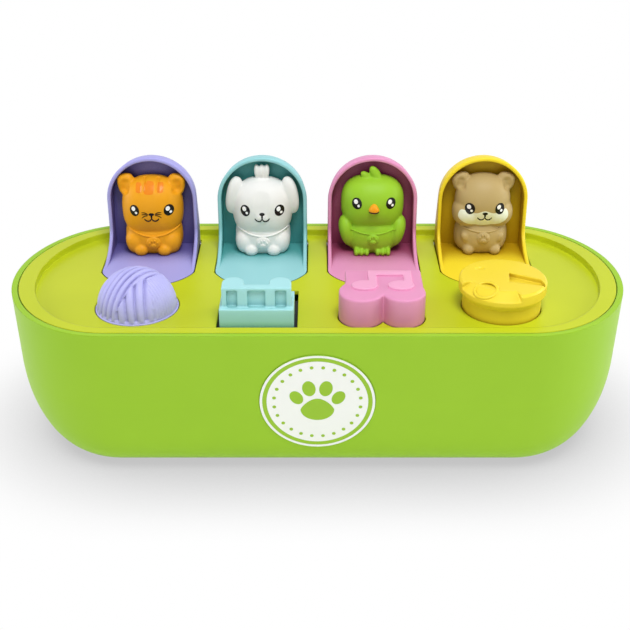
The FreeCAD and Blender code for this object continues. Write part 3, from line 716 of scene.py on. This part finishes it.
badge_green = moulded_plastic("green badge print", "9CC636", "97C132", 0.3, 2, 0.01)
badge_white = moulded_plastic("white badge print", "F6F7F3", "F0F1ED", 0.3, 2, 0.01)
finish_node("badge", badge_green)
white_edge = BADGE_OUTER - PRINT_LIFT
white_shapes = [badge_oval(0, 0, white_edge, white_edge, PRINT_LIFT, hole=BADGE_RING / BADGE_OUTER, steps=96),
                badge_oval(0, 0, BADGE_WHITE, BADGE_WHITE, PRINT_LIFT, steps=96)]
new_piece("badge_white", joined_mesh("badge_white", white_shapes), "housing", badge_white)
pad = []
for step in range(60):
    turn = 2 * math.pi * step / 60
    narrow = 1 - 0.3 * max(0, math.sin(turn))
    pad.append(on_badge(PAD_HALF[0] * math.cos(turn) * narrow, PAD_UP + PAD_HALF[1] * math.sin(turn),
                        2 * PRINT_LIFT))
paw_shapes = [(pad, [tuple(range(len(pad)))])]
for side in (-1, 1):
    for across, up, half_wide, half_tall, tilt in TOES:
        paw_shapes.append(badge_oval(side * across, up, half_wide, half_tall, 2 * PRINT_LIFT, side * tilt))
for spot in range(SPOTS):
    turn = 2 * math.pi * (spot + 0.5) / SPOTS
    paw_shapes.append(badge_oval(SPOT_REACH * math.sin(turn), SPOT_REACH * math.cos(turn), SPOT_RADIUS,
                                 SPOT_RADIUS, 2 * PRINT_LIFT, steps=20))
new_piece("badge_paw", joined_mesh("badge_paw", paw_shapes), "housing", badge_green)

# Animals: four soft-edged figures cast in coloured vinyl, which gives them a dull, even sheen.
# They are flat behind and underneath and stand on the floor plates. Each starts as overlapping
# rounded lumps that are melted into one skin.
PANEL = 47.8 * MM
SKIN_GRID = 0.45 * MM
SKIN_ROUNDS = 7
FIGURE_COLOURS = {
    "cat": ("ECA31A", "E69B14"),
    "dog": ("E9E9E6", "E4E4E1"),
    "bird": ("97C82E", "90C029"),
    "hamster": ("BAA36E", "B39B66"),
}


def mirrored(form):
    """A lump and its mirror image across the figure's middle."""
    across, out, up, wide, deep, tall, tilt, square = form
    return [form, (-across, out, up, wide, deep, tall, -tilt, square)]


def lump(across, out, up, wide, deep, tall, tilt=0, square=2.0):
    """A rounded lump: its place across, out from the panel and up, its half sizes in mm, its tilt,
    and how square its outline is, from 2 for an ellipse."""
    return across, out, up, wide, deep, tall, tilt, square


cat_lumps = [lump(0, 4.5, 24.8, 17, 14, 18.2, 0, 2.5), lump(0, 4.6, 8.6, 16, 12.4, 12.4, 0, 2.7)]
cat_lumps += mirrored(lump(13.6, 5, 38, 5, 3.6, 6.4, 10, 2.8))
cat_lumps += mirrored(lump(9, 9, 6, 6.6, 7.4, 7.4, 8, 2.3)) + mirrored(lump(6.4, 13.8, 2.8, 4.2, 4.6, 3.8))
dog_lumps = [lump(0, 4.5, 24.2, 16.6, 14, 17.8, 0, 2.5), lump(0, 4.6, 8.6, 15.4, 12.4, 12.4, 0, 2.7)]
dog_lumps += [lump(0.3, 15.4, 22.8, 5, 3.8, 4.2)] + mirrored(lump(15.4, 6, 32, 4.5, 4.6, 11, -10, 2.3))
dog_lumps += mirrored(lump(8.8, 9, 6, 6.4, 7.4, 7.4, 8, 2.3)) + mirrored(lump(6.2, 13.8, 2.8, 4.2, 4.6, 3.8))
dog_lumps += [lump(side * 2.5, 5, 45.2, 1.7, 2.4, 4.6, side * 6) for side in (-1, 0, 1)]
bird_lumps = [lump(0, 4.5, 27.6, 17.4, 14, 15.6, 0, 2.7), lump(0, 4.8, 9.6, 15.6, 13, 12.4, 0, 2.4)]
bird_lumps += mirrored(lump(13.6, 8, 11.6, 4.6, 7, 9.4, 14, 2.2))
bird_lumps += [lump(1.4, 6, 44.2, 2.7, 2.4, 5.4, -30), lump(-3.6, 6, 43, 2.1, 2, 4, -52)]
bird_lumps += [lump(side * 5.9 + toe * 2.9, 14.2, 1.6, 1.5, 4.2, 2.6)
               for side in (-1, 1) for toe in (-1, 0, 1)]
hamster_lumps = [lump(0, 4.5, 28.4, 15.4, 13.6, 15.8, 0, 2.3), lump(0, 4.6, 8.8, 14.8, 12.2, 12, 0, 2.6)]
hamster_lumps += mirrored(lump(8, 6.6, 23, 8.8, 10.2, 8.4, 0, 2.2))
hamster_lumps += mirrored(lump(12, 4.6, 39.8, 5.2, 3, 5.4, 14, 2.6))
hamster_lumps += mirrored(lump(7.2, 12.4, 2.6, 3.4, 4.6, 3.4))
hamster_lumps += mirrored(lump(9.2, 12.6, 9.6, 2.4, 2.8, 3.6, 30))

# Hollows pressed into the skin: a line of places across and up, its half width and depth
FOREHEAD = [([(-3, 44), (-3.6, 37.4)], 1.2, 0.7), ([(4.4, 44), (4.2, 37.4)], 1.2, 0.7)]
cat_hollows = FOREHEAD + [([(side * 14.2, 39.4), (side * 14.6, 36.6)], 3.2, 1.5) for side in (-1, 1)]
dog_hollows = [([(0, 33), (0, 29)], 5, 0.7)]
hamster_hollows = [([(side * 12.6, 40.6), (side * 12.8, 38.6)], 2.8, 1.3) for side in (-1, 1)]
figure_forms = {
    "cat": (cat_lumps, cat_hollows),
    "dog": (dog_lumps, dog_hollows),
    "bird": (bird_lumps, []),
    "hamster": (hamster_lumps, hamster_hollows),
}
LID_X = {animal: sum(c.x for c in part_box(f"{animal}_hood")) / 2 for animal in figure_forms}


def line_distance(point, line):
    """How far a point lies from a line of places."""
    nearest = 1e9
    for start, end in zip(line, line[1:]):
        run = end - start
        share = max(0, min(1, (point - start).dot(run) / run.length_squared))
        nearest = min(nearest, (point - start - run * share).length)
    return nearest


def melted_skin(name, lumps, hollows, middle):
    """One smooth skin over all the lumps, cut flat at the panel and at the floor plate."""
    shape = bmesh.new()
    for across, out, up, wide, deep, tall, tilt, square in lumps:
        place = Matrix.Translation((middle + across * MM, PANEL - out * MM, FLOOR + up * MM))
        turn = Matrix.Rotation(math.radians(tilt), 4, "Y")
        stretch = Matrix.Diagonal((wide * MM, deep * MM, tall * MM, 1))
        for vert in bmesh.ops.create_icosphere(shape, subdivisions=4, radius=1)["verts"]:
            flat = math.hypot(vert.co.x, vert.co.z)
            if flat > 1e-6:
                fuller = flat / (abs(vert.co.x)**square + abs(vert.co.z)**square)**(1 / square)
                vert.co.x *= fuller
                vert.co.z *= fuller
            vert.co = place @ turn @ stretch @ vert.co
    skin = melted_form(name, shape, SKIN_GRID, SKIN_ROUNDS)
    form = bmesh.new()
    form.from_mesh(skin)
    form.normal_update()
    for line, reach, depth in hollows:
        places = [Vector((middle + across * MM, FLOOR + up * MM)) for across, up in line]
        for vert in form.verts:
            if vert.normal.y < -0.1:
                away = line_distance(vert.co.xz, places) / (reach * MM)
                if away < 1:
                    vert.co -= vert.normal * depth * MM * (1 - away**2)**1.5
    for edge_place, outward in (((0, PANEL, 0), (0, 1, 0)), ((0, 0, FLOOR), (0, 0, -1))):
        everything = form.verts[:] + form.edges[:] + form.faces[:]
        cut = bmesh.ops.bisect_plane(form, geom=everything, plane_co=edge_place, plane_no=outward,
                                     clear_outer=True)
        rim = [item for item in cut["geom_cut"] if isinstance(item, bmesh.types.BMEdge)]
        bmesh.ops.holes_fill(form, edges=rim, sides=0)
    form.to_mesh(skin)
    form.free()
    skin.set_sharp_from_angle(angle=math.radians(50))
    return skin


figure_vinyl = {}
figure_surface = {}
for animal, (lumps, hollows) in figure_forms.items():
    light, deep = FIGURE_COLOURS[animal]
    figure_vinyl[animal] = moulded_plastic(f"{animal} vinyl cast", light, deep, 0.48, 0.9)
    skin = melted_skin(animal, lumps, hollows, LID_X[animal])
    new_piece(f"{animal}_skin", skin, BODIES[animal], figure_vinyl[animal], [f"{animal}_figure"])
    corners = [vert.co.copy() for vert in skin.vertices]
    figure_surface[animal] = BVHTree.FromPolygons(corners, [tuple(face.vertices) for face in skin.polygons])

# Faces: pad-printed eyes, noses, mouths and patches, as thin films of ink that follow the skin.
# The ink is a smooth gloss enamel a few hundredths of a millimetre thick.
INK_LIFT = 0.06


def ink(name, colour, deep):
    """Printing ink: smooth and glossy, with almost no grain."""
    return moulded_plastic(name, colour, deep, 0.22, 2.5, 0.01)


black_ink = ink("black printing ink", "141312", "1B1A18")
white_ink = ink("white printing ink", "FBFBFB", "F5F5F5")
cream_ink = ink("cream printing ink", "EBEEDA", "E4E8D2")
stripe_ink = ink("orange printing ink", "EE8A1E", "E58016")


def on_skin(animal, across, up, lift):
    """The place on an animal's front at a distance across and up, lifted off the skin."""
    start = Vector((LID_X[animal] + across * MM, -0.05, FLOOR + up * MM))
    place, normal, _, _ = figure_surface[animal].ray_cast(start, Vector((0, 1, 0)))
    return place + normal * lift * MM if place else start + Vector((0, PANEL + 0.05, 0))


def ring_film(animal, across, up, outline, lift, crown=0, rings=6):
    """A patch that follows the skin, in rings from its middle out to its outline. A crown lifts it
    to a rounded button instead of a film."""
    corners = [on_skin(animal, across, up, lift + crown)]
    spokes = len(outline)
    for ring in range(1, rings + 1):
        share = ring / rings
        rise = lift + crown * min(1, 2.5 * (1 - share))**0.5
        for wide, tall in outline:
            corners.append(on_skin(animal, across + wide * share, up + tall * share, rise))
    faces = [(0, 1 + spoke, 1 + (spoke + 1) % spokes) for spoke in range(spokes)]
    for ring in range(rings - 1):
        base = 1 + ring * spokes
        for spoke in range(spokes):
            after = (spoke + 1) % spokes
            faces.append((base + spoke, base + spokes + spoke, base + spokes + after, base + after))
    return corners, faces


def oval_film(animal, across, up, half_wide, half_tall, lift, rings=6, spokes=28, crown=0):
    """An oval patch that follows the skin."""
    outline = []
    for spoke in range(spokes):
        angle = 2 * math.pi * spoke / spokes
        outline.append((half_wide * math.cos(angle), half_tall * math.sin(angle)))
    return ring_film(animal, across, up, outline, lift, crown, rings)


def curve_point(before, here, there, after, share):
    """A point on the smooth curve between two places, bent by the places before and after them."""
    return (here * 2 + (there - before) * share + (before * 2 - here * 5 + there * 4 - after) * share**2
            + (here * 3 - before - there * 3 + after) * share**3) / 2


def line_film(animal, places, half_wide, lift, taper=0.55, crown=0, steps=24):
    """A line of ink along a smooth path, narrow at both ends, or a raised cord where it has a crown."""
    corners = []
    faces = []
    spread_shares = (-1, 0, 1) if not crown else (-1, -0.7, -0.35, 0, 0.35, 0.7, 1)
    total = len(places) - 1
    path = []
    for step in range(steps + 1):
        share = step / steps * total
        index = min(int(share), total - 1)
        local = share - index
        before = Vector(places[max(index - 1, 0)])
        here = Vector(places[index])
        there = Vector(places[index + 1])
        after = Vector(places[min(index + 2, total)])
        path.append(curve_point(before, here, there, after, local))
    for step, spot in enumerate(path):
        run = (path[min(step + 1, steps)] - path[max(step - 1, 0)]).normalized()
        side = Vector((-run.y, run.x))
        width = half_wide * (1 - taper + taper * math.sin(math.pi * step / steps))
        for share in spread_shares:
            spread = spot + side * width * share
            corners.append(on_skin(animal, spread.x, spread.y, lift + crown * math.sqrt(1 - share**2)))
    wide = len(spread_shares)
    for step in range(steps):
        for strip in range(wide - 1):
            first = step * wide + strip
            faces.append((first, first + wide, first + wide + 1, first + 1))
    return corners, faces


def film(name, animal, shapes, material):
    """Joins shapes of one ink into one piece on the animal's lid."""
    return new_piece(name, joined_mesh(name, shapes), BODIES[animal], material)


# Eyes by their middle, distance from it and height; noses by their place; a cat's hairs by their
# rise and how much further they drop; and its stripes by place, half width and lower and upper end
EYES = {"cat": (0.9, 9.3, 27), "dog": (0.4, 9.3, 26.8), "bird": (0.3, 9.2, 31), "hamster": (0, 8.1, 28)}
NOSES = {"cat": (0.9, 25.4), "dog": (0.3, 25.4), "hamster": (0.1, 25.6)}
HAIRS = ((0.5, 0.6), (-0.4, 0), (-1.4, -1.6))
STRIPES = ((-6, 1.6, 36.4, 40.9), (-0.3, 2.7, 35.8, 41.6), (5.8, 1.7, 36.4, 41))
for animal, (shift, apart, up) in EYES.items():
    eyes = []
    glints = []
    for side in (-1, 1):
        middle = shift + side * apart
        eyes.append(oval_film(animal, middle, up, 2.65, 3.2, 2 * INK_LIFT))
        glints.append(oval_film(animal, middle - 0.5, up + 0.95, 1.1, 1.3, 3 * INK_LIFT, 3, 18))
        glints.append(oval_film(animal, middle + 0.9, up - 1.15, 0.7, 0.75, 3 * INK_LIFT, 3, 14))
    film(f"{animal}_eyes", animal, eyes, black_ink)
    film(f"{animal}_glints", animal, glints, white_ink)
for animal, (across, up) in NOSES.items():
    marks = [oval_film(animal, across, up, 1.5, 0.85, 2 * INK_LIFT, 3, 18),
             line_film(animal, [(across, up), (across, up - 1.2), (across, up - 2.4)], 0.5, 2 * INK_LIFT)]
    for side in (-1, 1):
        smile = [(across, up - 2.2), (across + side * 0.8, up - 3.6), (across + side * 2.2, up - 4),
                 (across + side * 3.5, up - 3.2), (across + side * 3.9, up - 2.5)]
        marks.append(line_film(animal, smile, 0.42, 2 * INK_LIFT))
    if animal == "cat":
        for side in (-1, 1):
            for rise, drop in HAIRS:
                hair = [(across + side * 1.9, up + rise * 0.4 - 0.1), (across + side * 3.6, up + rise + 0.4),
                        (across + side * 5.4, up + rise + drop * 0.6)]
                marks.append(line_film(animal, hair, 0.26, 2 * INK_LIFT))
    film(f"{animal}_nose", animal, marks, black_ink)

stripes = []
for across, wide, low, high in STRIPES:
    middle = (low + high) / 2
    outline = []
    for spoke in range(28):
        angle = 2 * math.pi * spoke / 28
        squareness = max(abs(math.cos(angle)), abs(math.sin(angle)))**0.7
        outline.append((wide * math.cos(angle) / squareness, (high - low) / 2 * math.sin(angle) / squareness))
    stripes.append(ring_film("cat", across, middle, outline, INK_LIFT))
film("cat_stripes", "cat", stripes, stripe_ink)

MUZZLE_MIDDLE = (-0.3, 23.2)
MUZZLE_STEPS = 5
MUZZLE = [(-14.1, 22.6), (-12.8, 26.6), (-8.6, 26.4), (-4.7, 25.6), (0, 27.2), (4.9, 25.6), (8.6, 26.6),
          (12, 27.2), (13.1, 23.1), (9.4, 19.4), (4, 17.9), (-1.4, 17.6), (-6.6, 18.1), (-11.2, 19.8)]
smooth_muzzle = []
for place, here in enumerate(MUZZLE):
    there = MUZZLE[(place + 1) % len(MUZZLE)]
    before = MUZZLE[place - 1]
    after = MUZZLE[(place + 2) % len(MUZZLE)]
    for step in range(MUZZLE_STEPS):
        share = step / MUZZLE_STEPS
        smooth_muzzle.append(tuple(curve_point(*sides, share) - middle
                                   for sides, middle in zip(zip(before, here, there, after), MUZZLE_MIDDLE)))
film("hamster_muzzle", "hamster",
     [ring_film("hamster", *MUZZLE_MIDDLE, smooth_muzzle, INK_LIFT, rings=16)], cream_ink)

# Collars and tags: a thin cord round each neck with a round tag on it, and a paw in low relief,
# moulded in one with the figure. Each is given by its middle, half width, height of its ends and
# of its lowest point, and the height and radius of its tag.
CORD_PLACES = (-1, -0.66, -0.33, 0, 0.33, 0.66, 1)
PAW_TOES = ((-1.9, 0.5), (-0.7, 1.6), (0.7, 1.6), (1.9, 0.5))
TOE_TAG = 3.9
COLLARS = {
    "bird": (0.2, 12.6, 14.6, 13, 10, 3.4),
    "cat": (0.9, 14.2, 15, 11.4, 7.6, 4.1),
    "dog": (0.4, 14, 15, 11.4, 7.6, 4),
    "hamster": (0.2, 12.6, 16, 13.6, 10.4, 3.7),
}
for animal, (middle, reach, ends, dip, tag_up, tag_radius) in COLLARS.items():
    cord = [(middle + reach * place, dip + (ends - dip) * place**2) for place in CORD_PLACES]
    shapes = [line_film(animal, cord, 0.55, 0, 0.1, 0.55, 40),
              oval_film(animal, middle, tag_up, tag_radius, tag_radius, 0, 8, 32, 1.1)]
    shapes.append(oval_film(animal, middle, tag_up - 1, 1.6, 1.2, 0.9, 3, 16, 0.7))
    for toe, rise in PAW_TOES:
        across = middle + toe * tag_radius / TOE_TAG
        shapes.append(oval_film(animal, across, tag_up + rise, 0.6, 0.8, 0.9, 3, 12, 0.65))
    film(f"{animal}_collar", animal, shapes, figure_vinyl[animal])

# Beak of the bird: a small button of orange vinyl that narrows upward, pressed into the figure,
# with a row of black dots printed round its front as a smile.
BEAK_HALF = (2.9 * MM, 2.6 * MM, 2.5 * MM)
BEAK_NARROWING = 0.35
SMILE_HALF = (2.75 * MM, 2.5 * MM)
SMILE_TURN = 62
SMILE_DOTS = 15
SMILE_DOT = 0.34 * MM
beak_middle = Vector((LID_X["bird"] + 0.3 * MM, PANEL - 18.4 * MM, FLOOR + 28.2 * MM))
beak = bmesh.new()
bmesh.ops.create_icosphere(beak, subdivisions=4, radius=1,
                           matrix=Matrix.Translation(beak_middle) @ Matrix.Diagonal((*BEAK_HALF, 1)))
for vert in beak.verts:
    local = vert.co - beak_middle
    if local.z > 0:
        vert.co.x = beak_middle.x + local.x * (1 - BEAK_NARROWING * local.z / BEAK_HALF[2])
        vert.co.z += BEAK_NARROWING * local.z
smile = bmesh.new()
for step in range(SMILE_DOTS):
    turn = math.radians(SMILE_TURN * (2 * step / (SMILE_DOTS - 1) - 1))
    spot = Vector((SMILE_HALF[0] * math.sin(turn), -SMILE_HALF[1] * math.cos(turn),
                   -0.9 * MM - 0.3 * MM * math.cos(turn)))
    bmesh.ops.create_icosphere(smile, subdivisions=2, radius=SMILE_DOT,
                               matrix=Matrix.Translation(beak_middle + spot))
new_piece("bird_smile", to_mesh("bird_smile", smile), BODIES["bird"], black_ink)
new_piece("bird_beak", to_mesh("bird_beak", beak), BODIES["bird"],
          moulded_plastic("beak vinyl cast", "F5A51E", "EE9C18", 0.4, 0.9))

# Camera, floor and light: a plain pale table under soft studio light, seen from the front and
# above at the photograph's angle. To the camera the floor glows white, with a painted shadow
# that darkens it near the toy.
VIEW_DISTANCE = 600 * MM
VIEW_DOWN = math.radians(26)
RIM_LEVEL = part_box("deck")[1].z
FOCAL_PIXELS = 1131
FRAME_PIXELS = 630
VIEW_CENTRE = (317.4, 274.3)
SENSOR = 36
FLOOR_REACH = 4

lens = bpy.data.cameras.new("camera")
lens.sensor_width = SENSOR
lens.lens = FOCAL_PIXELS * SENSOR / FRAME_PIXELS
lens.shift_x = (FRAME_PIXELS / 2 - VIEW_CENTRE[0]) / FRAME_PIXELS
lens.shift_y = (VIEW_CENTRE[1] - FRAME_PIXELS / 2) / FRAME_PIXELS
camera = bpy.data.objects.new("camera", lens)
bpy.context.scene.collection.objects.link(camera)
camera.location = (0, -VIEW_DISTANCE * math.cos(VIEW_DOWN), RIM_LEVEL + VIEW_DISTANCE * math.sin(VIEW_DOWN))
camera.rotation_euler = (math.pi / 2 - VIEW_DOWN, 0, 0)
bpy.context.scene.camera = camera

floor_mesh = bpy.data.meshes.new("floor")
floor_mesh.from_pydata([(side * FLOOR_REACH, depth * FLOOR_REACH, 0)
                        for side, depth in ((-1, -1), (1, -1), (1, 1), (-1, 1))], [], [(0, 1, 2, 3)])
floor = bpy.data.objects.new("floor", floor_mesh)
bpy.context.scene.collection.objects.link(floor)
table = bpy.data.materials.new("white table")
table.use_nodes = True
table_tree = table.node_tree
table_paint = table_tree.nodes["Principled BSDF"]
table_paint.inputs["Base Color"].default_value = linear("FAFAFA")
table_paint.inputs["Roughness"].default_value = 0.8
# Painted shadow: the glow the camera sees dims where ambient occlusion finds the toy close by.
open_sky = add(table_tree, "ShaderNodeAmbientOcclusion", {"samples": 12, "Distance": 60 * MM}, {})
shadow = add(table_tree, "ShaderNodeMapRange",
             {"From Min": 0.3, "From Max": 0.95, "To Min": 0.55, "To Max": 1.0},
             {"Value": open_sky.outputs["AO"]})
table_glow = add(table_tree, "ShaderNodeEmission", {}, {"Strength": shadow.outputs["Result"]})
table_path = add(table_tree, "ShaderNodeLightPath", {}, {})
table_seen = add(table_tree, "ShaderNodeMath", {"operation": "MAXIMUM"},
                 {0: table_path.outputs["Is Camera Ray"], 1: table_path.outputs["Is Glossy Ray"]})
table_mix = add(table_tree, "ShaderNodeMixShader", {},
                {0: table_seen.outputs[0], 1: table_paint.outputs["BSDF"], 2: table_glow.outputs["Emission"]})
table_tree.links.new(table_mix.outputs["Shader"], table_tree.nodes["Material Output"].inputs["Surface"])
floor_mesh.materials.append(table)

world = bpy.data.worlds.new("studio")
bpy.context.scene.world = world
world.use_nodes = True
world_tree = world.node_tree
backdrop = world_tree.nodes["Background"]
backdrop.inputs["Color"].default_value = (1, 1, 1, 1)
path = add(world_tree, "ShaderNodeLightPath", {}, {})
seen = add(world_tree, "ShaderNodeMath", {"operation": "MAXIMUM"},
           {0: path.outputs["Is Camera Ray"], 1: path.outputs["Is Glossy Ray"]})
level = add(world_tree, "ShaderNodeMapRange", {"To Min": 0.3, "To Max": 1.0}, {"Value": seen.outputs[0]})
world_tree.links.new(level.outputs["Result"], backdrop.inputs["Strength"])


def soft_box(name, place, aim, wide, power):
    """A large square lamp that looks at a point."""
    lamp = bpy.data.lights.new(name, "AREA")
    lamp.size = wide
    lamp.energy = power
    holder = bpy.data.objects.new(name, lamp)
    bpy.context.scene.collection.objects.link(holder)
    holder.location = place
    holder.rotation_euler = (Vector(aim) - Vector(place)).to_track_quat("-Z", "Y").to_euler()


soft_box("key", (0.15, -0.45, 1.15), (0, 0, 0.08), 0.45, 10)
soft_box("front fill", (-0.4, -1.1, 0.4), (0, 0, 0.06), 0.8, 1.8)
soft_box("left side", (-1.1, 0.1, 0.35), (0, 0, 0.06), 0.6, 4)
soft_box("right side", (1.1, 0.1, 0.35), (0, 0, 0.06), 0.6, 5.5)

bpy.context.scene.view_settings.view_transform = "Standard"
